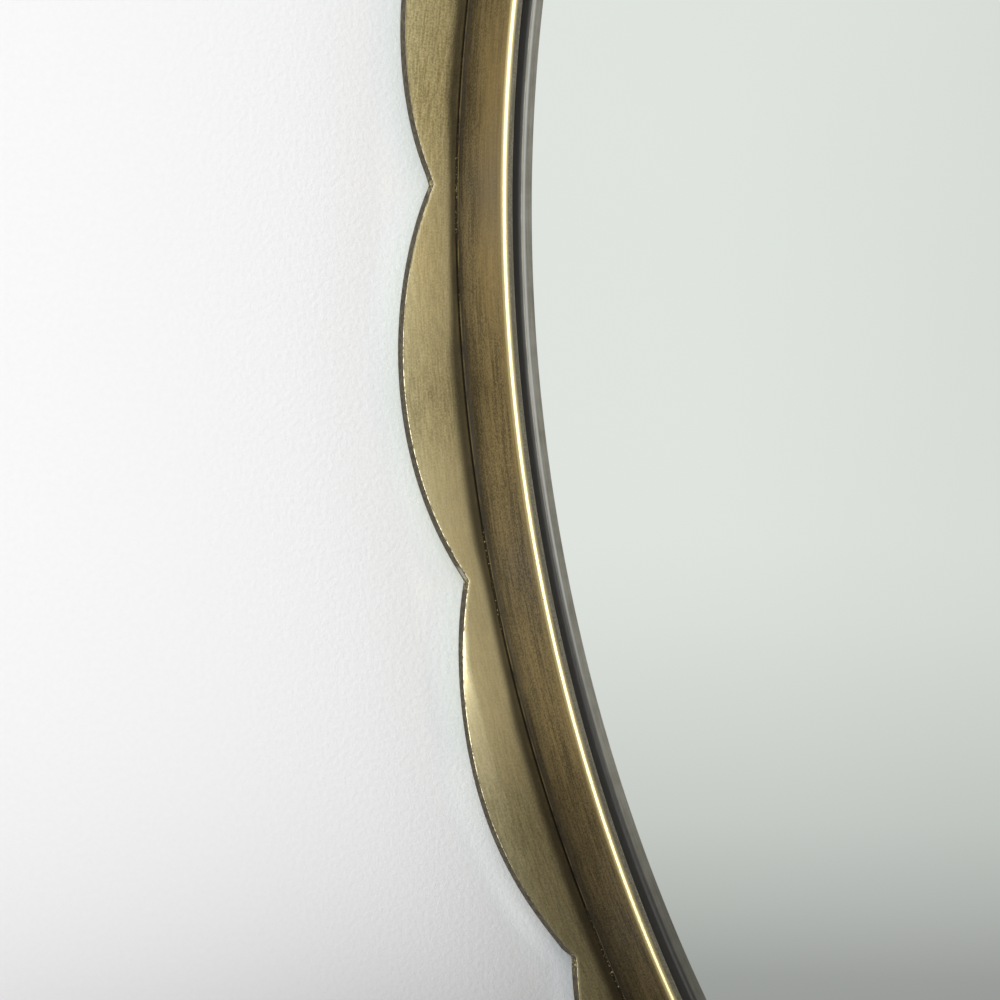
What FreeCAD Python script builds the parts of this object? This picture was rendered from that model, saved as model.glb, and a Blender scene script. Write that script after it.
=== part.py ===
import FreeCAD, Part
import math
import os

# Round wall mirror in a scalloped brass frame, in millimetres. The mirror stands in the XZ plane
# and faces -Y. The origin is the mirror's centre on the wall plane, which the bumpers touch.
# Heights are measured out from the wall, towards the viewer, so a height h lies at Y = -h.

# Rim: a flat plate ring with arc lobes. The crest radius sets the size of the whole mirror
lobe_count = 28
crest_radius = 457.0
scallop_depth = 9.9
flange_thickness = 3.0

# Hoop: flat bar rolled on edge, standing on the flange
notch_to_hoop = 7.1
hoop_wall = 3.0
hoop_height = 25.3
hoop_front_rounding = 1.7
hoop_foot_chamfer = 0.6

# Lip ring: small rolled angle that stands in the flange's hole and laps over the glass
channel_width = 11.0
lip_ring_sheet = 1.2
lip_width = 3.5
lip_rise = 7.7
lip_bend_chamfer = 0.7
lip_ring_fit = 0.1

# Braze beads at the feet of the hoop and of the lip ring
bead_toe = 0.6
bead_rise = 0.4
bead_length = 30.0

# Glass, the tape in front of it and the board behind it
glass_thickness = 5.0
glass_side_clearance = 0.5
glass_arris = 0.6
tape_thickness = 1.0
tape_inset = 0.4
board_thickness = 3.2

# Bumpers, which set the gap between the flange and the wall
bumper_height = 6.4
bumper_radius = 7.0
bumper_taper = 1.4
bumper_count = 8

# Turn buttons, with the screw that each one swivels on
button_count = 8
button_thickness = 1.5
button_hub_radius = 6.0
button_tip_radius = 4.5
button_reach = 14.0
button_gap = 0.2
button_edge_margin = 1.5
pivot_screw_radius = 2.0
pivot_running_clearance = 0.08
pivot_head_gap = 0.1

# Pan head screws of the buttons and of the rail
screw_head_radius = 3.8
screw_head_height = 2.2
screw_head_taper = 0.8
screw_tip_inset = 0.3
tapped_hole_clearance = 0.05

# Hanging rail: joggled flat bar on a chord of the rim, with two keyholes
rail_width = 26.0
rail_thickness = 2.0
rail_end_inset = 1.0
rail_hole_distance = 13.0
rail_foot_margin = 1.7
rail_joggle_run = 6.0
rail_bend_radius = 1.5
rail_wall_clearance = 0.3
rail_screw_radius = 2.0
rail_hole_clearance = 0.3
rail_end_angle = 45.0
keyhole_spacing = 406.4
keyhole_entry_radius = 5.25
keyhole_slot_width = 5.5
keyhole_travel = 11.0
keyhole_drop = 5.0

# How far a cutting solid runs past the face that it cuts
overrun = 2.0

# Radii that the pieces share, from the notches inward
notch_radius = crest_radius - scallop_depth
hoop_radius = notch_radius - notch_to_hoop
lip_ring_radius = hoop_radius - hoop_wall - channel_width
glass_radius = lip_ring_radius - lip_ring_sheet - glass_side_clearance
back_middle_radius = (lip_ring_radius + notch_radius) / 2
button_pivot_radius = lip_ring_radius + button_edge_margin + button_hub_radius
rail_end_radius = notch_radius - rail_end_inset

# Heights of the faces that the pieces share
flange_back = bumper_height
flange_front = flange_back + flange_thickness
hoop_front = flange_front + hoop_height
lip_front = flange_front + lip_rise
lip_back = lip_front - lip_ring_sheet
glass_front = lip_back - tape_thickness
glass_back = glass_front - glass_thickness
board_back = glass_back - board_thickness

# Turn from one notch to the next
full_turn = 360.0
lobe_step = full_turn / lobe_count

CENTRE = FreeCAD.Vector(0, 0, 0)
OUT = FreeCAD.Vector(0, -1, 0)


def place(radius, degrees, height):
    """Point at a radius and an angle from +X towards +Z, at a height out from the wall."""
    angle = math.radians(degrees)
    return FreeCAD.Vector(radius * math.cos(angle), -height, radius * math.sin(angle))


def crest_angle(lobe):
    """Angle of a lobe's crest, half a step past its notch."""
    return lobe * lobe_step + lobe_step / 2


def even_angles(count):
    """Angles of things spread evenly round the rim, none of them on an axis."""
    step = full_turn / count
    return [step * index + step / 2 for index in range(count)]


def button_angles():
    """Crests of the lobes that carry a turn button."""
    return [crest_angle(int(angle / lobe_step)) for angle in even_angles(button_count)]


def bumper_angles():
    """Notches that have a bumper behind them, clear of the buttons."""
    return [round(angle / lobe_step) * lobe_step for angle in even_angles(bumper_count)]


def disc(radius, back, front, centre=None):
    """Cylinder along the wall's normal between two heights."""
    middle = centre or CENTRE
    foot = FreeCAD.Vector(middle.x, -back, middle.z)
    return Part.makeCylinder(radius, front - back, foot, OUT)


def swung(shape, degrees):
    """Copy of a shape turned about the mirror's centre, from +X towards +Z."""
    copy = shape.copy()
    copy.rotate(CENTRE, OUT, degrees)
    return copy


def moved(shape, x, z):
    """Copy of a shape shifted in the plane of the wall."""
    copy = shape.copy()
    copy.translate(FreeCAD.Vector(x, 0, z))
    return copy


def rounded_outline(corners):
    """Closed face through (point, radius) corners, each with an arc tangent to its two sides."""
    edges = []
    arcs = []
    for index, (corner, radius) in enumerate(corners):
        to_last = (corners[index - 1][0] - corner).normalize()
        to_next = (corners[(index + 1) % len(corners)][0] - corner).normalize()
        half_turn = to_last.getAngle(to_next) / 2
        reach = radius / math.tan(half_turn)
        inward = (to_last + to_next).normalize() * (radius / math.sin(half_turn) - radius)
        arcs.append((corner + to_last * reach, corner + inward, corner + to_next * reach, radius))
    for index, (start, middle, end, radius) in enumerate(arcs):
        if radius > 0:
            edges.append(Part.Arc(start, middle, end).toShape())
        following = arcs[(index + 1) % len(arcs)][0]
        edges.append(Part.LineSegment(end, following).toShape())
    return Part.Face(Part.Wire(edges))


def turned(corners, degrees=full_turn):
    """Solid of revolution about the wall's normal, from (radius, height, corner radius) corners."""
    points = [(place(radius, 0, height), corner) for radius, height, corner in corners]
    return rounded_outline(points).revolve(CENTRE, OUT, degrees)


def pan_head_screw(shank_radius, seat, tip):
    """Screw on the Y axis: its tapered head stands from the seat towards the wall, its shank points out."""
    top = FreeCAD.Vector(0, screw_head_height - seat, 0)
    head = Part.makeCone(screw_head_radius - screw_head_taper, screw_head_radius, screw_head_height, top, OUT)
    return head.fuse(disc(shank_radius, seat, tip)).removeSplitter()


def make_scalloped_flange():
    """Plate ring with one arc per lobe outside and a round hole for the lip ring inside."""
    arcs = []
    for lobe in range(lobe_count):
        start = place(notch_radius, lobe * lobe_step, flange_back)
        crest = place(crest_radius, crest_angle(lobe), flange_back)
        end = place(notch_radius, (lobe + 1) * lobe_step, flange_back)
        arcs.append(Part.Arc(start, crest, end).toShape())
    plate = Part.Face(Part.Wire(arcs)).extrude(OUT * flange_thickness)
    hole = disc(lip_ring_radius + lip_ring_fit, flange_back - overrun, flange_front + overrun)
    plate = plate.cut(hole)
    for angle in button_angles():
        centre = place(button_pivot_radius, angle, 0)
        plate = plate.cut(tapped_hole(pivot_screw_radius, centre))
    for centre in rail_screw_centres():
        plate = plate.cut(tapped_hole(rail_screw_radius, centre))
    return plate


def tapped_hole(screw_radius, centre):
    """Cutter for a screw hole through the flange."""
    return disc(screw_radius + tapped_hole_clearance, flange_back - overrun, flange_front + overrun, centre)


def make_outer_hoop():
    """Flat bar on edge, eased at its foot and rounded at the front, where it is rubbed bright."""
    inner = hoop_radius - hoop_wall
    return turned([
        (inner, flange_front, 0),
        (hoop_radius - hoop_foot_chamfer, flange_front, 0),
        (hoop_radius, flange_front + hoop_foot_chamfer, 0),
        (hoop_radius, hoop_front, hoop_front_rounding),
        (inner, hoop_front, 0),
    ])


def make_lip_ring():
    """Angle section: a wall that stands in the flange and a leg that laps over the glass."""
    wall_inner = lip_ring_radius - lip_ring_sheet
    lip_inner = lip_ring_radius - lip_width
    return turned([
        (wall_inner, flange_back, 0),
        (lip_ring_radius, flange_back, 0),
        (lip_ring_radius, lip_front - lip_bend_chamfer, 0),
        (lip_ring_radius - lip_bend_chamfer, lip_front, 0),
        (lip_inner, lip_front, 0),
        (lip_inner, lip_back, 0),
        (wall_inner, lip_back, 0),
    ])


def make_beads(wall_radius, foot_chamfer):
    """One fillet bead at each notch, in the corner of the flange and a ring's outer wall.
    It fills the groove under the wall's foot, which is eased by foot_chamfer."""
    wall_foot = flange_front + foot_chamfer
    corners = [
        (wall_radius - foot_chamfer, flange_front, 0),
        (wall_radius + bead_toe, flange_front, 0),
        (wall_radius, wall_foot + bead_rise, 0),
    ]
    if foot_chamfer > 0:
        corners.append((wall_radius, wall_foot, 0))
    span = math.degrees(bead_length / wall_radius)
    bead = turned(corners, span)
    return Part.makeCompound([swung(bead, notch * lobe_step - span / 2) for notch in range(lobe_count)])


def make_mirror_glass():
    """Float glass disc with both rims ground to a small flat."""
    return turned([
        (0, glass_back, 0),
        (glass_radius - glass_arris, glass_back, 0),
        (glass_radius, glass_back + glass_arris, 0),
        (glass_radius, glass_front - glass_arris, 0),
        (glass_radius - glass_arris, glass_front, 0),
        (0, glass_front, 0),
    ])


def make_glazing_tape():
    """Flat foam ring between the lip and the face of the glass."""
    inner = lip_ring_radius - lip_width + tape_inset
    ring = disc(glass_radius, glass_front, lip_back)
    return ring.cut(disc(inner, glass_front - overrun, lip_back + overrun))


def make_wall_bumpers():
    """Tapered rubber feet on the back of the flange, each behind a notch."""
    bumper = Part.makeCone(bumper_radius - bumper_taper, bumper_radius, flange_back, CENTRE, OUT)
    bumper = moved(bumper, back_middle_radius, 0)
    return Part.makeCompound([swung(bumper, angle) for angle in bumper_angles()])


def button_seat():
    """Height of the button's face that lies on the flange, its running gap included."""
    return flange_back - button_gap


def make_turn_button():
    """Flat retainer in the place of angle zero: round hub on its screw, narrower tip over the board."""
    lean = math.acos((button_hub_radius - button_tip_radius) / button_reach)
    height = button_seat()
    tip_x = button_pivot_radius - button_reach

    def rim(centre_x, radius, angle):
        """Point on the rim of the hub or the tip; angle zero points to the mirror's centre."""
        return FreeCAD.Vector(centre_x - radius * math.cos(angle), -height, radius * math.sin(angle))

    hub_up = rim(button_pivot_radius, button_hub_radius, lean)
    hub_end = rim(button_pivot_radius, button_hub_radius, math.pi)
    hub_down = rim(button_pivot_radius, button_hub_radius, -lean)
    tip_up = rim(tip_x, button_tip_radius, lean)
    tip_end = rim(tip_x, button_tip_radius, 0)
    tip_down = rim(tip_x, button_tip_radius, -lean)
    edges = [
        Part.Arc(hub_up, hub_end, hub_down).toShape(),
        Part.LineSegment(hub_down, tip_down).toShape(),
        Part.Arc(tip_down, tip_end, tip_up).toShape(),
        Part.LineSegment(tip_up, hub_up).toShape(),
    ]
    plate = Part.Face(Part.Wire(edges)).extrude(OUT * -button_thickness)
    bore = disc(
        pivot_screw_radius + pivot_running_clearance,
        height - button_thickness - overrun,
        height + overrun,
        place(button_pivot_radius, 0, 0),
    )
    return plate.cut(bore)


def make_pivot_screws():
    """Pan head screws that the buttons swivel on, tapped into the flange."""
    seat = button_seat() - button_thickness - pivot_head_gap
    screw = pan_head_screw(pivot_screw_radius, seat, flange_front - screw_tip_inset)
    screw = moved(screw, button_pivot_radius, 0)
    return Part.makeCompound([swung(screw, angle) for angle in button_angles()])


def rail_crest_angle():
    """Crest of the lobe that carries the rail's right end."""
    return crest_angle(int(rail_end_angle / lobe_step))


def rail_height_on_wall():
    """Z of the rail's centre line, through the middle of its screws."""
    return place(back_middle_radius, rail_crest_angle(), 0).z


def rail_screw_centres():
    """Two screws side by side along the rim at each end of the rail."""
    half_step = math.degrees(rail_hole_distance / 2 / back_middle_radius)
    angles = [rail_crest_angle() - half_step, rail_crest_angle() + half_step]
    angles += [full_turn / 2 - angle for angle in angles]
    return [place(back_middle_radius, angle, 0) for angle in angles]


def make_hanging_rail():
    """Flat bar whose ends seat on the flange and whose span stands clear of the board,
    so that the heads of two wall screws fit behind its keyholes."""
    foot_back = flange_back - rail_thickness
    foot_front = flange_back
    span_back = rail_wall_clearance
    span_front = rail_wall_clearance + rail_thickness
    slope = math.atan2(foot_back - span_back, rail_joggle_run)
    mitre = rail_thickness * math.tan(slope / 2)
    outer_bend = rail_bend_radius + rail_thickness
    foot_x = min(abs(centre.x) for centre in rail_screw_centres()) - screw_head_radius - rail_foot_margin
    span_x = foot_x - rail_joggle_run
    end_x = rail_end_radius
    half = [
        (end_x, foot_back, 0),
        (foot_x, foot_back, rail_bend_radius),
        (span_x, span_back, outer_bend),
    ]
    half_front = [
        (span_x - mitre, span_front, rail_bend_radius),
        (foot_x - mitre, foot_front, outer_bend),
        (end_x, foot_front, 0),
    ]
    right = half_front + half
    left = [(-x, height, radius) for x, height, radius in reversed(right)]
    bottom_z = rail_height_on_wall() - rail_width / 2
    corners = [(FreeCAD.Vector(x, -height, bottom_z), radius) for x, height, radius in right + left]
    rail = rounded_outline(corners).extrude(FreeCAD.Vector(0, 0, rail_width))
    rail = rail.common(disc(rail_end_radius, 0, flange_front))
    for centre in rail_screw_centres():
        hole = disc(rail_screw_radius + rail_hole_clearance, 0, flange_front, centre)
        rail = rail.cut(hole)
    for side in (-1, 1):
        rail = rail.cut(keyhole(side * keyhole_spacing / 2))
    return rail.removeSplitter()


def keyhole(x):
    """Cutter for a keyhole: a round entry for the head and a slot upward for the shank."""
    entry_z = rail_height_on_wall() - keyhole_drop
    back = -overrun
    front = rail_wall_clearance + rail_thickness + overrun
    entry = disc(keyhole_entry_radius, back, front, FreeCAD.Vector(x, 0, entry_z))
    end = disc(keyhole_slot_width / 2, back, front, FreeCAD.Vector(x, 0, entry_z + keyhole_travel))
    corner = FreeCAD.Vector(x - keyhole_slot_width / 2, -front, entry_z)
    slot = Part.makeBox(keyhole_slot_width, front - back, keyhole_travel, corner)
    return entry.fuse(end).fuse(slot)


def make_rail_screws():
    """Pan head screws through the rail's ends into the flange."""
    screw = pan_head_screw(rail_screw_radius, flange_back - rail_thickness, flange_front - screw_tip_inset)
    return Part.makeCompound([moved(screw, centre.x, centre.z) for centre in rail_screw_centres()])


os.makedirs("parts", exist_ok=True)
pieces = {
    "scalloped_flange": make_scalloped_flange(),
    "outer_hoop": make_outer_hoop(),
    "lip_ring": make_lip_ring(),
    "seam_tacks": make_beads(hoop_radius, hoop_foot_chamfer),
    "lip_tacks": make_beads(lip_ring_radius, 0),
    "glazing_tape": make_glazing_tape(),
    "mirror_glass": make_mirror_glass(),
    "backing_board": disc(glass_radius, board_back, glass_back),
    "wall_bumpers": make_wall_bumpers(),
    "pivot_screws": make_pivot_screws(),
    "hanging_rail": make_hanging_rail(),
    "rail_screws": make_rail_screws(),
}
for number, angle in enumerate(button_angles(), start=1):
    pieces["turn_button_%02d" % number] = swung(make_turn_button(), angle)

for name, shape in pieces.items():
    shape.exportStep("parts/" + name + ".step")
    print(name, len(shape.Solids), shape.isValid(), round(shape.Volume, 1))
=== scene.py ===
import math
import random

import bmesh
import bpy
from mathutils import Matrix, Vector, noise


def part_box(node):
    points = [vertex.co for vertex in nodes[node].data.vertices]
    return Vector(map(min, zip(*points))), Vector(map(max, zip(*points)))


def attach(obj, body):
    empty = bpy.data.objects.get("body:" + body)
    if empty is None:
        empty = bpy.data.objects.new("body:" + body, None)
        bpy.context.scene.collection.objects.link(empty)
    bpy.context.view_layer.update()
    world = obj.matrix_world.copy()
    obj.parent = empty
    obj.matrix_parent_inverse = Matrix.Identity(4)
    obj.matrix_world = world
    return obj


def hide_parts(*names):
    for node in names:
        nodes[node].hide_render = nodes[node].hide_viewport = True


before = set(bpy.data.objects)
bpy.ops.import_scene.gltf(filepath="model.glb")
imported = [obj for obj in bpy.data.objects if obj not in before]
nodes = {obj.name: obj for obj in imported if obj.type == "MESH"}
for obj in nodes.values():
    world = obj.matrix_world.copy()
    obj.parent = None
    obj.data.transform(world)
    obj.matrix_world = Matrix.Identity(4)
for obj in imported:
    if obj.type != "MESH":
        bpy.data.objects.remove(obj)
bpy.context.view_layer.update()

# Rim plate: a flat brass ring, 3 mm thick. Its outer edge is sawn into 28 shallow arcs that meet in
# sharp notches, and filed by hand, so no two lobes are quite alike. The face is brushed along the
# rim and aged, the cut edge stays dark, and the front arris keeps a fine bright burr in places.
lobe_count = 28
crest_radius = 0.457
notch_radius = 0.4471
plate_hole_radius = 0.4261
plate_back = 0.0064
plate_front = 0.0094
burr_width = 0.00017
points_per_lobe = 36
row_materials = (0, 1, 2, 0, 0, 0, 1)
lobe_turn = 2 * math.pi / lobe_count

# What the file took off each lobe, in millimetres: at its start, all along it and at its end, and
# how far it leans to its start. Lobes 13 to 16 lie on the left, about level with the middle.
filing = random.Random(11)
notch_cuts = [filing.uniform(0, 0.8) for lobe in range(lobe_count)]
filed = [
    (notch_cuts[lobe - 1], filing.uniform(0.05, 0.45), notch_cuts[lobe], filing.uniform(-0.2, 0.2))
    for lobe in range(lobe_count)
]
filed[13:15] = [(0.3, -0.03, 1.35, -0.08), (0.6, 0.315, 0.73, 0.23)]
filed[15:17] = [(0.45, 0.43, -1.25, 0.55), (0.05, -0.2, 0.45, -0.5)]

# Where the notches lie, in degrees, and the one lobe whose edge was bent back a little.
notch_drift = 0.012
notch_degrees = [
    (lobe + filing.uniform(-notch_drift, notch_drift)) * 360 / lobe_count for lobe in range(lobe_count)
]
notch_degrees[14:17] = [179.98, 192.8, 205.54]
bent_lobe = 15
bent_radius = 0.4512
bent_drop = 0.0007
bent_slope = 0.3
least_bent_width = 0.0014
bend_half_width = 0.0005
drop_at_bend = 0.1


class Shade:
    """A value, colour or vector in a material. Sums and products of values add their Math nodes,
    and node() adds a node of any other kind."""

    def __init__(self, tree, socket=None):
        self.tree = tree
        self.socket = socket

    def node(self, kind, settings, sockets, output=0):
        made = self.tree.nodes.new("ShaderNode" + kind)
        for name, value in settings.items():
            if name == "stops":
                ramp = made.color_ramp
                while len(ramp.elements) < len(value):
                    ramp.elements.new(1)
                for element, (position, colour) in zip(ramp.elements, value):
                    element.position = position
                    element.color = colour
            else:
                setattr(made, name, value)
        for name, value in sockets.items():
            if isinstance(value, Shade):
                self.tree.links.new(value.socket, made.inputs[name])
            else:
                made.inputs[name].default_value = value
        return Shade(self.tree, made.outputs[output])

    def math(self, operation, *others):
        return self.node("Math", {"operation": operation}, dict(enumerate((self, *others))))

    def __add__(self, other):
        return self.math("ADD", other)

    __radd__ = __add__

    def __sub__(self, other):
        return self.math("SUBTRACT", other)

    def __rsub__(self, other):
        return self.math("MULTIPLY_ADD", -1, other)

    def __mul__(self, other):
        return self.math("MULTIPLY", other)

    __rmul__ = __mul__

    def __truediv__(self, other):
        return self.math("DIVIDE", other)

    def __pow__(self, other):
        return self.math("POWER", other)

    def rise(self, start, end):
        """0 up to the start, 1 from the end on, smooth between. The end may be the lower one."""
        limits = {"Value": self, "From Min": start, "From Max": end}
        return self.node("MapRange", {"interpolation_type": "SMOOTHSTEP"}, limits)

    def parts(self):
        return [self.node("SeparateXYZ", {}, {"Vector": self}, output) for output in range(3)]

    def vector(self, x, y, z):
        return self.node("CombineXYZ", {}, {"X": x, "Y": y, "Z": z})

    def noise(self, scale, detail, roughness=0.5):
        sockets = {"Vector": self, "Scale": scale, "Detail": detail, "Roughness": roughness}
        return self.node("TexNoise", {}, sockets)

    def blend(self, dark, light):
        """Colour between two colours, with this value as the share of the second."""
        return self.node("Mix", {"data_type": "RGBA"}, {0: self, 6: dark, 7: light}, 2)

    def relief(self, height):
        """Normal of a surface with this value as its relief, in shares of a height in metres."""
        return self.node("Bump", {}, {"Height": self, "Distance": height})


def paint(red, green, blue):
    """Colour of a finish from the 0 to 255 values that it shows under plain light."""
    shares = [value / 255 for value in (red, green, blue)]
    linear = [s / 12.92 if s <= 0.04045 else ((s + 0.055) / 1.055) ** 2.4 for s in shares]
    return (*linear, 1)


def start_finish(name, **constants):
    """New material. Returns it, its surface shader and its place on the piece."""
    material = bpy.data.materials.new(name)
    material.use_nodes = True
    surface = material.node_tree.nodes["Principled BSDF"]
    for socket, value in constants.items():
        surface.inputs[socket.replace("_", " ")].default_value = value
    place = Shade(material.node_tree).node("TexCoord", {}, {}, "Object")
    return material, surface, place


def set_finish(surface, **sockets):
    """Leads what varies over the piece to its surface shader."""
    for name, value in sockets.items():
        value.tree.links.new(value.socket, surface.inputs[name.replace("_", " ")])


def spot_on(place):
    """x, y, height out from the wall and distance from the centre line, of a place on the piece."""
    x, y, height = place.parts()
    return x, y, height, (x * x + y * y) ** 0.5


def brushed(place, run, spacing):
    """Place stretched along the rim, for streaks of a usual length and spacing that close up."""
    x, y, height, radius = spot_on(place)
    turns = notch_radius / run
    return place.vector(x / radius * turns, y / radius * turns, (radius + height) / spacing)


def on_rim(radius, angle, height):
    """Point by its distance from the centre line, its angle, and its height out from the wall."""
    return Vector((radius * math.cos(angle), radius * math.sin(angle), height))


def lobe_outline():
    """(point, outward normal, lobe, share of the lobe) round the scalloped edge, one on each notch."""
    notch_fade = 10
    notch_reach = notch_radius * math.cos(lobe_turn / 2)
    middle = (crest_radius**2 - notch_radius**2) / (2 * (crest_radius - notch_reach))
    arc_radius = crest_radius - middle
    outline = []
    for lobe, (at_start, along, at_end, lean) in enumerate(filed):
        first = math.radians(notch_degrees[lobe])
        last = math.radians(notch_degrees[(lobe + 1) % lobe_count])
        span = (last - first) % (2 * math.pi)
        for index in range(points_per_lobe):
            share = index / points_per_lobe
            off_crest = (share - 0.5) * lobe_turn
            aside = middle * math.sin(off_crest)
            reach = middle * math.cos(off_crest) + math.sqrt(arc_radius**2 - aside**2)
            lean_out = math.asin(aside / arc_radius) if index else 0
            cut = along + lean * math.sin(2 * math.pi * share)
            cut += at_start * math.exp(-notch_fade * share) + at_end * math.exp(notch_fade * (share - 1))
            angle = first + span * share
            point = on_rim(reach - cut / 1000, angle, 0)
            outline.append((point, on_rim(1, angle + lean_out, 0), lobe, share))
    return outline


def lofted(name, rows):
    """Closed tube through rows of points, each row running once round the rim."""
    count = len(rows[0])
    faces = []
    for row in range(len(rows)):
        here = row * count
        after = (row + 1) % len(rows) * count
        for index in range(count):
            following = (index + 1) % count
            faces.append((here + index, here + following, after + following, after + index))
    mesh = bpy.data.meshes.new(name)
    mesh.from_pydata([point for row in rows for point in row], [], faces)
    return finished_mesh(mesh)


def finished_mesh(mesh, edge_angle=35):
    """Mesh with its faces turned outwards and shaded smooth, but for edges sharper than an angle."""
    shape = bmesh.new()
    shape.from_mesh(mesh)
    bmesh.ops.recalc_face_normals(shape, faces=shape.faces)
    shape.to_mesh(mesh)
    shape.free()
    mesh.shade_smooth()
    mesh.set_sharp_from_angle(angle=math.radians(edge_angle))
    return mesh


def hang(name, mesh, materials, body, stands_for):
    """Piece whose mesh lies flat, with its front up, turned upright against the wall."""
    piece = bpy.data.objects.new(name, mesh)
    bpy.context.scene.collection.objects.link(piece)
    piece.rotation_euler = (math.radians(90), 0, 0)
    for material in materials:
        mesh.materials.append(material)
    piece.modifiers.new("even_shading", "WEIGHTED_NORMAL").keep_sharp = True
    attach(piece, body)
    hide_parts(stands_for)
    return piece


def plate_rows():
    """Rows of points round the plate: back, cut edge, burr, both sides of the bend, and the hole."""
    lift = Vector((0, 0, 1))
    rows = [[] for material in row_materials]
    for point, normal, lobe, share in lobe_outline():
        angle = math.atan2(point.y, point.x)
        bend = min(bent_radius, point.length - least_bent_width)
        # The bend sets in a tenth along the lobe and eases off from a fifth on.
        onset = min(1, max(0, 10 * share - 1)) * min(1, max(0, 1.35 - 1.6 * share))
        drop = min(bent_drop * onset, bent_slope * (point.length - bend)) if lobe == bent_lobe else 0
        front = point + lift * (plate_front - drop)
        section = [
            on_rim(plate_hole_radius, angle, plate_back),
            point + lift * plate_back,
            front - lift * burr_width,
            front - normal * burr_width,
            on_rim(bend + bend_half_width, angle, plate_front - drop_at_bend * drop),
            on_rim(bend - bend_half_width, angle, plate_front),
            on_rim(plate_hole_radius, angle, plate_front),
        ]
        for row, corner in zip(rows, section):
            row.append(corner)
    return rows


# Face of the plate: brass aged to an olive gold, with fine brush lines and the grain of the lacquer. A
# dark band of painted shade lies in the corner where the hoop stands.
corner_shadow = 0.005
seam_line = 0.0002


def radii(name):
    """Least and greatest distance of a CAD piece from the centre line."""
    reaches = [math.hypot(corner.co.x, corner.co.z) for corner in nodes[name].data.vertices]
    return min(reaches), max(reaches)


hoop_inner, hoop_radius = radii("outer_hoop")


def facing(spot, degrees, half_width):
    """1 at an angle of the rim, falling to 0 at half a width to each side, in degrees."""
    x, y, height, radius = spot
    turn = math.radians(degrees)
    towards = (x * math.cos(turn) + y * math.sin(turn)) / radius
    return towards.rise(math.cos(math.radians(half_width)), math.cos(math.radians(half_width / 4)))


plate_brass, surface, place = start_finish(
    "aged_plate_brass", Metallic=1.0, Anisotropic=0.6, Anisotropic_Rotation=0.25
)
spot = spot_on(place)
height, radius = spot[2:]
fine = brushed(place, run=0.005, spacing=0.0005).noise(1, 3, 0.6)
broad = brushed(place, run=0.05, spacing=0.003).noise(1, 3, 0.5)
cloud = place.noise(45, 3, 0.55)
grain = place.noise(1900, 2, 0.7)
tone = 0.6 * fine + 0.2 * broad + 0.1 * cloud + 0.6 * grain
colour = tone.rise(0.48, 1.02).blend(paint(143, 132, 93), paint(229, 216, 165))
paler = 0.6 * facing(spot, 193.6, 7.5) + 0.35 * facing(spot, 182.5, 5)
colour = paler.blend(colour, paint(252, 238, 188))
# Painted shade: the plate is darker low on the left rim, at about 208 degrees.
lower_rim_shade = facing(spot, 208, 12)
colour = (lower_rim_shade * 0.5).blend(colour, paint(124, 118, 98))
front = height.rise(plate_back, plate_front)
from_hoop = radius - hoop_radius
uneven = place.noise(16, 2).rise(0.3, 0.7)
narrow = 0.3 * facing(spot, 194.7, 3.2) + 0.42 * facing(spot, 181.5, 4.5)
reach = corner_shadow * (1 + 0.15 * uneven - narrow)
# Painted shade: a dark band on the plate in the corner where the hoop stands, wider in some places.
corner = from_hoop.rise(reach, 0.15 * reach).rise(0, 1) * front
colour = (corner * 0.88).blend(colour, paint(66, 58, 44))
seam = from_hoop.rise(2 * seam_line, seam_line) * front
colour = (seam * 0.6).blend(colour, paint(30, 26, 20))
relief = fine * 0.000012 + grain * 0.000008
set_finish(surface, Base_Color=colour, Roughness=0.42 - 0.1 * broad, Normal=relief.relief(1))

# Cut edge of the plate: sawn brass that was never polished. Dark scale covers it, with brass showing
# in small chips near the notches, and a lighter nick beside one of them.
nick_fade = 0.0006
nick_margin = 0.0004


def off_crest(x, y):
    """How far a place lies from the crest of its lobe, from 0 there to 0.5 at the notches."""
    return ((y.math("ARCTAN2", x) / lobe_turn).math("FRACT") - 0.5).math("ABSOLUTE")


cut_edge, surface, place = start_finish("dark_cut_edge", Metallic=0.35)
spot = spot_on(place)
x, y, height = spot[:3]
scale = place.noise(900, 4, 0.6)
chips = place.noise(1500, 3, 0.8).rise(0.56, 0.6) * off_crest(x, y).rise(0.47, 0.49)
sawn = scale.rise(0.3, 0.75).blend(paint(56, 50, 38), paint(98, 90, 68))
nick = facing(spot, 192.55, 0.3)
nick = nick * (height - plate_back).rise(nick_margin, nick_margin + nick_fade)
nick = nick * (plate_front - height).rise(nick_margin, nick_margin + nick_fade)
sawn = (nick * (0.2 + 0.8 * scale)).blend(sawn, paint(190, 184, 168))
set_finish(
    surface,
    Base_Color=chips.blend(sawn, paint(206, 188, 132)),
    Roughness=0.75 - 0.2 * scale,
    Normal=scale.relief(0.00003),
)

# Burr on the front arris: a hair's breadth of metal that the file turned up. It is bright where the
# polishing wheel caught it and dark in the gaps.
bright_arris, surface, place = start_finish("bright_arris", Metallic=1.0)
chips = place.noise(1000, 3, 0.7)
stretch = place.noise(30, 2).rise(0.42, 0.6)
share = chips.rise(0.34, 0.62) * (0.2 + 0.8 * stretch) * (1 - 0.6 * facing(spot_on(place), 179, 8))
set_finish(
    surface,
    Base_Color=share.blend(paint(104, 94, 70), paint(246, 234, 194)),
    Roughness=0.5 - 0.2 * chips,
    Normal=chips.relief(0.00006),
)

mesh = lofted("rim_plate", plate_rows())
plate = hang(
    "rim_plate", mesh, [plate_brass, cut_edge, bright_arris], "frame", "scalloped_flange"
)
for face in mesh.polygons:
    face.material_index = row_materials[face.index // (lobe_count * points_per_lobe)]

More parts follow.
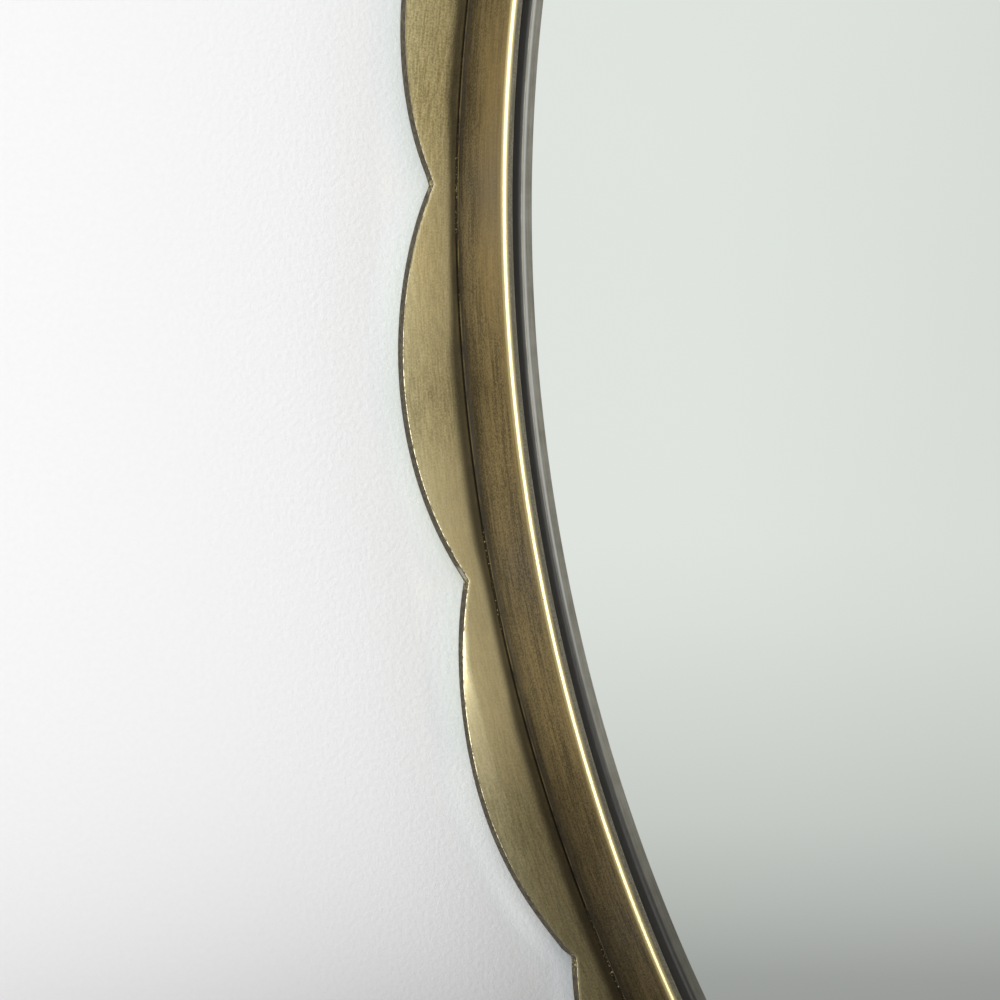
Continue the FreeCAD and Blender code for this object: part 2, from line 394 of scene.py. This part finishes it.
# Screw holes of the plate: drilled and tapped from behind. There is one for each turn button, in the
# channel, and there are two for each end of the rail.
hole_radius = 0.00205
hole_sides = 40
button_count = 8
button_pivot_radius = 0.4335
button_turns = [
    (int((index + 0.5) * lobe_count / button_count) + 0.5) * lobe_turn for index in range(button_count)
]
pivots = [on_rim(button_pivot_radius, turn, 0) for turn in button_turns]
rail_screw_radius = 0.43655
rail_screw_spread = math.asin(0.0065 / rail_screw_radius)
rail_turn = (lobe_count // 8 + 0.5) * lobe_turn
rail_turns = [rail_turn - rail_screw_spread, rail_turn + rail_screw_spread]
rail_turns += [math.pi - turn for turn in rail_turns]
rail_places = [on_rim(rail_screw_radius, turn, 0) for turn in rail_turns]


def mesh_of(name, shape):
    """Mesh of a shape that is done with."""
    mesh = bpy.data.meshes.new(name)
    shape.to_mesh(mesh)
    shape.free()
    return mesh


def cut_from(piece, cutter_shape):
    """Takes a cutting shape, given in the piece's own space, out of the piece."""
    cutter = bpy.data.objects.new("cutter", mesh_of("cutter", cutter_shape))
    cutter.rotation_euler = piece.rotation_euler
    bpy.context.scene.collection.objects.link(cutter)
    cut = piece.modifiers.new("cut", "BOOLEAN")
    cut.object = cutter
    cut.solver = "EXACT"
    bpy.context.view_layer.update()
    solid = piece.evaluated_get(bpy.context.evaluated_depsgraph_get())
    mesh = bpy.data.meshes.new_from_object(solid)
    piece.modifiers.remove(cut)
    piece.data = finished_mesh(mesh)
    bpy.data.objects.remove(cutter)


drills = bmesh.new()
for centre in pivots + rail_places:
    bmesh.ops.create_cone(
        drills,
        cap_ends=True,
        segments=hole_sides,
        radius1=hole_radius,
        radius2=hole_radius,
        depth=2 * plate_front,
        matrix=Matrix.Translation(centre + Vector((0, 0, plate_front))),
    )
cut_from(plate, drills)

# Hoop: flat brass bar, 25 by 3 mm, rolled on edge into a ring and standing on the plate. Its front
# outer corner is rounded and rubbed bright, and its outer wall is mottled where the ageing took.
hoop_front = -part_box("outer_hoop")[0].y
hoop_rounding = 0.0017
foot_rounding = 0.0006
inner_rounding = 0.0003
ring_points = 1008


def arc(centre_radius, centre_height, rounding, start, end, steps=8):
    """(radius, height) points on a rounded corner, between two angles in degrees."""
    turns = [math.radians(start + (end - start) * step / steps) for step in range(steps + 1)]
    return [
        (centre_radius + rounding * math.cos(turn), centre_height + rounding * math.sin(turn))
        for turn in turns
    ]


def ring(name, section):
    """Ring from (radius, height) points of its section."""
    angles = [2 * math.pi * index / ring_points for index in range(ring_points)]
    rows = [[on_rim(radius, angle, height) for angle in angles] for radius, height in section]
    return lofted(name, rows)


section = [(hoop_inner, plate_front)]
section += arc(hoop_radius - foot_rounding, plate_front + foot_rounding, foot_rounding, -90, 0)
section += arc(hoop_radius - hoop_rounding, hoop_front - hoop_rounding, hoop_rounding, 0, 90, steps=12)
section += arc(hoop_inner + inner_rounding, hoop_front - inner_rounding, inner_rounding, 90, 180, steps=4)

hoop_brass, surface, place = start_finish(
    "aged_hoop_brass", Metallic=1.0, Anisotropic=0.5, Anisotropic_Rotation=0.25
)
spot = spot_on(place)
height, radius = spot[2:]
above_plate = height - plate_front
below_front = hoop_front - height
fine = brushed(place, run=0.014, spacing=0.001).noise(1, 3, 0.6)
broad = brushed(place, run=0.06, spacing=0.004).noise(1, 2, 0.5)
cloud = place.noise(90, 3, 0.5)
grain = place.noise(1900, 2, 0.7)
tone = (1.1 * fine + 0.3 * broad + 0.15 * cloud + 1.5 * grain).rise(1.225, 1.825)
# Painted shade: the outer wall is darker towards its foot, in the corner with the plate, and lighter
# towards its top.
shaded_low_wall = tone.blend(paint(54, 49, 42), paint(102, 93, 80))
lit_high_wall = tone.blend(paint(68, 59, 43), paint(126, 111, 81))
colour = above_plate.rise(0, 0.022).blend(shaded_low_wall, lit_high_wall)
# The foot of the wall is greyer and bluish, in a band that varies round the rim.
bluish_foot = 0.3 - 0.25 * facing(spot, 181.5, 4.5) + 0.2 * facing(spot, 187, 3.5)
bluish_foot = bluish_foot * above_plate.rise(0.0045, 0.0012)
colour = bluish_foot.blend(colour, paint(112, 114, 122))
paler = facing(spot, 179.5, 6) * above_plate.rise(0.008, 0.018)
colour = (paler * 0.5).blend(colour, paint(140, 122, 87))
# Painted sheen: a golden band just below the rounded corner, on the lower edge of the highlight.
highlight_shoulder = below_front.rise(0.0034, 0.0014)
colour = (highlight_shoulder * 0.4).blend(colour, paint(158, 138, 84))
rubbed = below_front.rise(0.0014, 0.0004)
colour = (rubbed * 0.85).blend(colour, paint(236, 218, 162))
top_face = (hoop_radius - radius).rise(hoop_rounding * 0.65, hoop_rounding * 1.1)
colour = top_face.blend(colour, tone.rise(0.3, 1.0).blend(paint(116, 112, 96), paint(144, 139, 121)))
# Painted highlight: a pale line along the rounded foot, broken up by noise.
foot_highlight = above_plate.rise(0.0005, 0.0008) * above_plate.rise(0.0015, 0.001)
foot_highlight = foot_highlight * place.noise(160, 3, 0.6).rise(0.3, 0.6)
colour = (foot_highlight * 0.65).blend(colour, paint(200, 184, 140))
foot = above_plate.rise(0.0005, seam_line)
pits = place.noise(1300, 2, 0.4).rise(0.74, 0.78)
colour = (foot * 0.7).math("MAXIMUM", pits * 0.7).blend(colour, paint(30, 26, 20))
specks = place.noise(1500, 2, 0.6).rise(0.56, 0.62) * above_plate.rise(0.001, 0.0005)
specks = specks * (facing(spot, 180, 9) + facing(spot, 193.6, 2.5))
colour = (specks * 0.8).blend(colour, paint(214, 206, 176))
set_finish(
    surface,
    Base_Color=colour,
    Roughness=0.44 - 0.08 * broad - 0.12 * rubbed,
    Normal=(fine * 0.000012 + grain * 0.000006 - pits * 0.00002).relief(1),
)
hang("hoop", ring("hoop", section), [hoop_brass], "frame", "outer_hoop")

# Seam beads: short runs of braze at each notch that join the hoop to the plate. They are thin, uneven
# and dark, with bright specks where the polishing wheel reached them.
bead_length = 0.03
shortest_share = 0.8
bead_step = 0.0004
bead_width = 0.00055
bead_rise = 0.0004
lumps_per_metre = 900


def beads(name, wall_radius, under, seed):
    """One bead at each notch, in the corner of the plate and a ring's outer wall. Under it lies the
    gap at the ring's foot."""
    shape = bmesh.new()
    chance = random.Random(seed)
    for notch in range(lobe_count):
        length = bead_length * chance.uniform(shortest_share, 1)
        slide = (bead_length - length) * chance.uniform(-0.5, 0.5)
        count = int(length / bead_step)
        last = None
        for index in range(count + 1):
            along = (index / count - 0.5) * length + slide
            angle = notch * lobe_turn + along / wall_radius
            swell = 0.55 + 0.45 * noise.noise(Vector((along * lumps_per_metre, notch * 7.3, seed)))
            # Each end tapers off over about a tenth of the bead.
            swell *= min(1, 4 * (1 - abs(2 * index / count - 1)) + 0.15)
            width = bead_width * swell
            rise = under + bead_rise * swell
            section = [
                (wall_radius - under, plate_front),
                (wall_radius + width, plate_front),
                (wall_radius + 0.6 * width, plate_front + 0.4 * rise),
                (wall_radius, plate_front + rise),
            ]
            here = [shape.verts.new(on_rim(reach, angle, height)) for reach, height in section]
            if last:
                for side in range(len(here)):
                    after = (side + 1) % len(here)
                    shape.faces.new((last[side], last[after], here[after], here[side]))
            if index in (0, count):
                shape.faces.new(here)
            last = here
    return finished_mesh(mesh_of(name, shape), edge_angle=70)


braze, surface, place = start_finish("dark_braze", Metallic=0.9)
lumps = place.noise(1400, 3, 0.7)
specks = place.noise(1700, 2, 0.6).rise(0.6, 0.68)
set_finish(
    surface,
    Base_Color=specks.blend(lumps.blend(paint(34, 29, 23), paint(74, 66, 50)), paint(200, 189, 150)),
    Roughness=0.6 - 0.25 * specks,
    Normal=(lumps * 0.00012 + specks * 0.00004).relief(1),
)
mesh = beads("seam_beads", hoop_radius, foot_rounding, 3)
hang("seam_beads", mesh, [braze], "frame", "seam_tacks")

# Lip ring: small rolled angle in gunmetal finish. Its wall stands in the plate's hole, and its leg
# laps over the edge of the glass.
lip_inner, lip_outer = radii("lip_ring")
lip_front, lip_back = [-corner.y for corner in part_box("lip_ring")]
lip_sheet = 0.0012
lip_bend = 0.0011
lip_arris = 0.0002

section = [(lip_outer - lip_sheet, lip_back), (lip_outer, lip_back)]
section += arc(lip_outer - lip_bend, lip_front - lip_bend, lip_bend, 0, 90)
section += arc(lip_inner + lip_arris, lip_front - lip_arris, lip_arris, 90, 180, steps=4)
section += [(lip_inner, lip_front - lip_sheet), (lip_outer - lip_sheet, lip_front - lip_sheet)]

gunmetal, surface, place = start_finish("gunmetal_lip")
spot = spot_on(place)
height, radius = spot[2:]
fine = brushed(place, run=0.01, spacing=0.0003).noise(1, 4, 0.6)
cloud = place.noise(160, 3, 0.6)
colour = (0.5 * fine + 0.5 * cloud).rise(0.3, 0.7).blend(paint(138, 136, 123), paint(172, 170, 158))
inward = lip_outer - radius
# Painted highlight: a bright line on the bend of the lip, fainter low on the rim.
bend_highlight = inward.rise(0.0007, 0.0011) * inward.rise(0.0017, 0.0013)
bend_highlight = bend_highlight * (0.7 + 0.3 * place.noise(900, 3, 0.7)) * (1 - facing(spot, 207, 15))
colour = (bend_highlight * 0.9).blend(colour, paint(226, 226, 222))
# Painted shade: the lip is darker low on the left rim, at about 210 degrees.
dulled = facing(spot, 210, 10)
colour = (dulled * 0.5).blend(colour, paint(52, 52, 46))
# Painted shade: the outer edge of the lip, beside the channel, is darker low on the rim.
channel_shade = inward.rise(0.0012, 0.0007) * facing(spot, 203, 16)
colour = (channel_shade * 0.75).blend(colour, paint(60, 61, 63))
# Painted light: the lip's wall below its front is a pale non-metal grey, which lightens it in the shade
# of the channel.
upright = (lip_front - height).rise(0.00003, 0.0006)
colour = upright.blend(colour, paint(140, 140, 140))
set_finish(
    surface,
    Base_Color=colour,
    Metallic=1 - 0.9 * upright,
    Roughness=0.38 + 0.1 * cloud,
    Normal=fine.relief(0.00001),
)
hang("lip", ring("lip", section), [gunmetal], "frame", "lip_ring")

# Lip beads: short runs of the same braze at the foot of the lip ring, down in the channel. They hold
# the ring in the plate's hole.
mesh = beads("lip_beads", lip_outer, 0, 8)
hang("lip_beads", mesh, [braze], "frame", "lip_tacks")

# Mirror: a disc of 5 mm float glass behind the lip, silvered on its back. It shows the room with the
# faint green of the glass.


def dress(name, material):
    """Gives a CAD piece its material and keeps its shape."""
    nodes[name].data.materials.clear()
    nodes[name].data.materials.append(material)


silvered, surface, place = start_finish("silvered_glass", Metallic=1.0)
haze = place.noise(6, 2)
set_finish(
    surface,
    Base_Color=haze.rise(0.3, 0.7).blend(paint(240, 246, 239), paint(243, 248, 243)),
    Roughness=0.012 + 0.01 * haze,
)
dress("mirror_glass", silvered)

# Glazing tape: black closed-cell foam, cut as a ring and stuck to the back of the lip. The turn buttons
# press the board and the glass against it.
foam, surface, place = start_finish("black_foam")
cells = place.noise(2500, 2, 0.6)
set_finish(
    surface,
    Base_Color=cells.blend(paint(26, 26, 27), paint(52, 52, 53)),
    Roughness=0.95 - 0.1 * cells,
    Normal=cells.relief(0.00008),
)
dress("glazing_tape", foam)

# Backing board: a disc of 3 mm brown hardboard behind the glass. Its smooth, slightly scuffed face
# looks to the wall, and the turn buttons hold it in.
hardboard, surface, place = start_finish("brown_hardboard")
fibres = place.noise(1400, 4, 0.7)
patches = place.noise(9, 4, 0.55)
scuffs = place.noise(60, 5, 0.7).rise(0.62, 0.7)
colour = (0.75 * fibres + 0.25 * patches).rise(0.3, 0.75).blend(paint(104, 74, 46), paint(148, 111, 74))
set_finish(
    surface,
    Base_Color=(scuffs * 0.3).blend(colour, paint(176, 144, 106)),
    Roughness=0.55 + 0.2 * fibres + 0.1 * scuffs,
    Normal=fibres.relief(0.00003),
)
dress("backing_board", hardboard)

# Turn buttons: stamped from 1.5 mm steel and zinc plated, with the edges a little rounded by the die.
# Each one swivels on its screw, and its tip holds the board in.
button_edge = 0.00018


def eased(name, width):
    """Mesh of a CAD piece with its sharp edges rounded over."""
    same_place = 0.000002
    flat_angle = math.radians(0.5)
    sharp_angle = 0.7
    shape = bmesh.new()
    shape.from_mesh(nodes[name].data)
    bmesh.ops.remove_doubles(shape, verts=shape.verts, dist=same_place)
    bmesh.ops.dissolve_limit(shape, angle_limit=flat_angle, verts=shape.verts, edges=shape.edges)
    shared = [edge for edge in shape.edges if len(edge.link_faces) == 2]
    corners = [edge for edge in shared if edge.calc_face_angle() > sharp_angle]
    bmesh.ops.bevel(shape, geom=corners, offset=width, segments=3, profile=0.5, affect="EDGES")
    return finished_mesh(mesh_of(name + "_eased", shape), edge_angle=40)


def stand(name, mesh, material, body, stands_for):
    """Piece whose mesh already stands in its place."""
    piece = hang(name, mesh, [material], body, stands_for)
    piece.rotation_euler = (0, 0, 0)
    return piece


def zinc_finish(name, dull, bright):
    """Zinc plate on steel: a fine spangle, with greyer patches where it has dulled."""
    material, surface, place = start_finish(name, Metallic=1.0)
    spangle = place.noise(700, 3, 0.6)
    patches = place.noise(120, 3, 0.6)
    colour = (0.5 * spangle + 0.5 * patches).rise(0.3, 0.7).blend(dull, bright)
    dulled = 0.3 + 0.25 * patches
    set_finish(surface, Base_Color=colour, Roughness=dulled, Normal=spangle.relief(0.00001))
    return material


stamped_zinc = zinc_finish("stamped_zinc", paint(150, 150, 146), paint(202, 202, 196))
for number in range(1, button_count + 1):
    name = "turn_button_%02d" % number
    mesh = eased(name, button_edge)
    stand("button_plate_%02d" % number, mesh, stamped_zinc, name, name)

# Pan head screws: zinc plated steel with a cross recess. Eight carry the turn buttons and four hold
# the rail. Their tips end just under the front of the plate.
screw_radius = 0.002
screw_sides = 40
head_radius = 0.0038
head_top_radius = 0.003
head_height = 0.0022
head_rounding = 0.0006
head_arris = 0.0001
tip_height = 0.0091
tip_chamfer = 0.0003
recess_reach = 0.0017
recess_width = 0.0007
recess_depth = 0.0012
recess_bottom_reach = 0.45 * recess_reach
recess_bottom_width = 0.7 * recess_width
pivot_seat = 0.0046
rail_seat = 0.0044


def one_screw(seat):
    """Mesh of a screw on the centre line, its head to the wall."""
    top = seat - head_height
    section = [(0, top)]
    flank = head_top_radius - head_rounding
    section += arc(flank, top + head_rounding, head_rounding, -90, -15, steps=5)
    section += [(head_radius - head_arris, seat - head_arris), (head_radius - 2 * head_arris, seat)]
    section += [(screw_radius, seat), (screw_radius, tip_height - tip_chamfer)]
    section += [(screw_radius - tip_chamfer, tip_height), (0, tip_height)]
    shape = bmesh.new()
    rows = []
    for radius, height in section:
        turns = [2 * math.pi * side / screw_sides for side in range(screw_sides)] if radius else [0]
        rows.append([shape.verts.new(on_rim(radius, turn, height)) for turn in turns])
    for lower, upper in zip(rows, rows[1:]):
        for side in range(screw_sides):
            following = (side + 1) % screw_sides
            corners = [lower[side % len(lower)], lower[following % len(lower)]]
            corners += [upper[following % len(upper)], upper[side % len(upper)]]
            shape.faces.new(list(dict.fromkeys(corners)))
    bmesh.ops.recalc_face_normals(shape, faces=shape.faces)
    return mesh_of("one_screw", shape)


def screws_at(name, seat, places):
    """Mesh of a screw at each place, each turned to an angle of its own."""
    screw = one_screw(seat)
    turns = random.Random(len(places))
    shape = bmesh.new()
    for place in places:
        start = len(shape.verts)
        shape.from_mesh(screw)
        shape.verts.ensure_lookup_table()
        matrix = Matrix.Translation(place) @ Matrix.Rotation(turns.uniform(0, math.pi), 4, "Z")
        bmesh.ops.transform(shape, matrix=matrix, verts=shape.verts[start:])
    return mesh_of(name, shape)


def crosses_at(places, top):
    """Cutting shape of the cross recesses: one prism of 12 corners a head, narrower at its bottom."""
    turns = random.Random(len(places))
    shape = bmesh.new()
    for place in places:
        turn = turns.uniform(0, math.pi)
        rows = []
        for height, reach, width in (
            (top - recess_depth, recess_reach, recess_width),
            (top + recess_depth, recess_bottom_reach, recess_bottom_width),
        ):
            half = width / 2
            row = []
            for arm in range(4):
                along = Matrix.Rotation(turn + arm * math.pi / 2, 4, "Z")
                for corner in ((reach, -half, height), (reach, half, height), (half, half, height)):
                    row.append(shape.verts.new(place + along @ Vector(corner)))
            rows.append(row)
        mouth, bottom = rows
        shape.faces.new(list(reversed(mouth)))
        shape.faces.new(bottom)
        for index in range(len(mouth)):
            following = (index + 1) % len(mouth)
            shape.faces.new((mouth[index], mouth[following], bottom[following], bottom[index]))
    return shape


screw_zinc = zinc_finish("screw_zinc", paint(140, 140, 138), paint(196, 197, 192))
for name, seat, places, stands_for in (
    ("button_screws", pivot_seat, pivots, "pivot_screws"),
    ("hanger_screws", rail_seat, rail_places, "rail_screws"),
):
    mesh = screws_at(name, seat, places)
    screws = hang(name, mesh, [screw_zinc], "frame", stands_for)
    cut_from(screws, crosses_at(places, seat - head_height))

# Hanging rail: 26 by 2 mm steel bar across the back, coated black. Its ends are joggled down to the
# plate and screwed to it, and two keyholes are punched in it for the screws of the wall.
rail_edge = 0.00025
powder_coat, surface, place = start_finish("black_powder_coat", Specular_IOR_Level=0.6)
orange_peel = place.noise(1100, 2, 0.5)
wear = place.noise(140, 4, 0.7).rise(0.66, 0.74)
colour = orange_peel.blend(paint(24, 24, 25), paint(38, 38, 40))
set_finish(
    surface,
    Base_Color=(wear * 0.35).blend(colour, paint(92, 92, 92)),
    Roughness=0.42 + 0.15 * wear,
    Normal=orange_peel.relief(0.00004),
)
mesh = eased("hanging_rail", rail_edge)
stand("hanger_rail", mesh, powder_coat, "frame", "hanging_rail")

# Wall bumpers: moulded rubber feet, stuck to the back of the plate behind eight of the notches. They
# are narrower to the wall and keep the metal off it.
bumper_edge = 0.0006
rubber, surface, place = start_finish("black_rubber")
bloom = place.noise(260, 4, 0.65)
skin = place.noise(1800, 2, 0.5)
set_finish(
    surface,
    Base_Color=bloom.rise(0.35, 0.75).blend(paint(28, 28, 28), paint(66, 65, 63)),
    Roughness=0.8 - 0.15 * skin,
    Normal=skin.relief(0.00003),
)
mesh = eased("wall_bumpers", bumper_edge)
stand("rubber_feet", mesh, rubber, "frame", "wall_bumpers")

# Wall: smooth white plaster with the fine pips of a roller and a soft shadow low on the left. The
# rim throws a little light on it. It isn't part of the mirror, and from behind it is clear.
wall_reach = 3.0
wall_gap = 0.0003
shade_slant = 0.18
shade_start = 0.163
shade_fade = 0.04
plaster, surface, place = start_finish("white_plaster")
spot = spot_on(place)
x, y = spot[:2]
beside = spot[3]
depth = (x * shade_slant - y - shade_start) / shade_fade
# The shadow grows with its depth and levels off a little past half.
shaded = ((depth * -4).math("EXPONENT") + 7) ** -0.25 * y.rise(-0.6, -0.22) * x.rise(0.2, -0.2)
pips = place.noise(700, 3, 0.6)
plain = pips.blend(paint(231, 231, 232), paint(238, 238, 239))
near_rim = pips.blend(paint(222, 223, 224), paint(235, 236, 237))
aside = off_crest(x, y)
from_edge = beside - (crest_radius - (crest_radius - notch_radius) * 4 * aside * aside)
# Painted shade: the plaster is darker within about 3 cm of the rim.
colour = (from_edge.rise(0.03, -0.004) * 0.9).blend(plain, near_rim)
# Painted shade: a darker patch beside the rim at about 194 degrees.
rim_shade = facing(spot, 194.2, 5) * from_edge.rise(0.008, 0.002)
colour = (rim_shade * 0.25).blend(colour, paint(194, 195, 198))
# Painted light: the plaster is lighter just behind the crests, against the shade that the plate casts.
beneath = beside.rise(crest_radius + 0.003, crest_radius - 0.003)
colour = (beneath * 0.3).blend(colour, paint(247, 248, 250))
# Painted light: a bluish tint near the rim, against the warm light that the brass throws on the wall.
colour = (from_edge.rise(0.009, -0.006) * 0.68).blend(colour, paint(220, 233, 245))
colour = shaded.blend(colour, paint(60, 60, 61))
bounced = from_edge.rise(0.006, 0.001) * (0.3 * facing(spot, 201.5, 4) + 0.2 * facing(spot, 208, 6))
colour = bounced.blend(colour, paint(250, 250, 251))
rougher = 0.25 + 1.1 * beside.rise(crest_radius + 0.085, crest_radius)
set_finish(surface, Base_Color=colour, Normal=(pips * rougher).relief(0.00016))
behind = place.node("NewGeometry", {}, {}, "Backfacing")
clear = place.node("BsdfTransparent", {}, {})
seen = place.node("MixShader", {}, {0: behind, 1: Shade(place.tree, surface.outputs[0]), 2: clear})
place.tree.links.new(seen.socket, place.tree.nodes["Material Output"].inputs["Surface"])

sides = [(-1, -1), (1, -1), (1, 1), (-1, 1)]
corners = [(wall_reach * across, wall_reach * up, 0) for across, up in sides]
mesh = bpy.data.meshes.new("wall")
mesh.from_pydata(corners, [], [(0, 1, 2, 3)])
mesh.materials.append(plaster)
wall_plane = bpy.data.objects.new("wall", mesh)
bpy.context.scene.collection.objects.link(wall_plane)
wall_plane.rotation_euler = (math.radians(90), 0, 0)
wall_plane.location = (0, wall_gap, 0)
wall_plane.visible_shadow = False

# Room: what the mirror shows. It is pale above and darker towards the floor, and a little duller to
# the right.
world = bpy.data.worlds.new("room")
bpy.context.scene.world = world
world.use_nodes = True
tree = world.node_tree
x, y, z = Shade(tree).node("TexCoord", {}, {}, "Generated").parts()
stops = [
    (0.15, paint(150, 150, 148)),
    (0.36, paint(157, 157, 157)),
    (0.455, paint(166, 166, 166)),
    (0.552, paint(191, 191, 191)),
    (0.652, paint(209, 209, 209)),
    (0.751, paint(219, 219, 219)),
    (0.9, paint(231, 231, 231)),
    (1.0, paint(235, 235, 235)),
]
room = z.node("ValToRGB", {"stops": stops}, {"Fac": z * 10 + 0.5})
room = (x.rise(0.475, 0.515) * 0.08).blend(room, paint(120, 108, 114))
tree.links.new(room.socket, tree.nodes["Background"].inputs["Color"])

# Studio: one soft light at the left, which the camera doesn't see, and one behind for the back of the
# mirror.


def soft_light(name, place, target, width, height, watts):
    """Rectangular lamp at a place, turned to a target."""
    data = bpy.data.lights.new(name, "AREA")
    data.shape = "RECTANGLE"
    data.size = width
    data.size_y = height
    data.energy = watts
    lamp = bpy.data.objects.new(name, data)
    lamp.location = place
    lamp.rotation_euler = (Vector(target) - Vector(place)).to_track_quat("-Z", "Y").to_euler()
    bpy.context.scene.collection.objects.link(lamp)
    return lamp


side = soft_light(
    "side_light", (-1.468, -1.246, -0.15), (-0.44, -0.02, -0.15), width=1.0, height=2.2, watts=25
)
side.visible_camera = False
soft_light("back_light", (0.8, 1.6, 1.2), (0, 0, 0), width=1.2, height=1.2, watts=20)

# Camera: left of the mirror and a little below its middle. Its long lens takes in the left rim alone,
# from the wall to the edge of the glass.
camera_data = bpy.data.cameras.new("camera")
camera_data.lens = 288
camera = bpy.data.objects.new("camera", camera_data)
camera.location = (-1.3420, -1.7973, -0.18875)
camera.rotation_euler = [math.radians(turn) for turn in (93.1464, -0.6118, -27.1433)]
bpy.context.scene.collection.objects.link(camera)
bpy.context.scene.camera = camera
bpy.context.scene.view_settings.view_transform = "Standard"
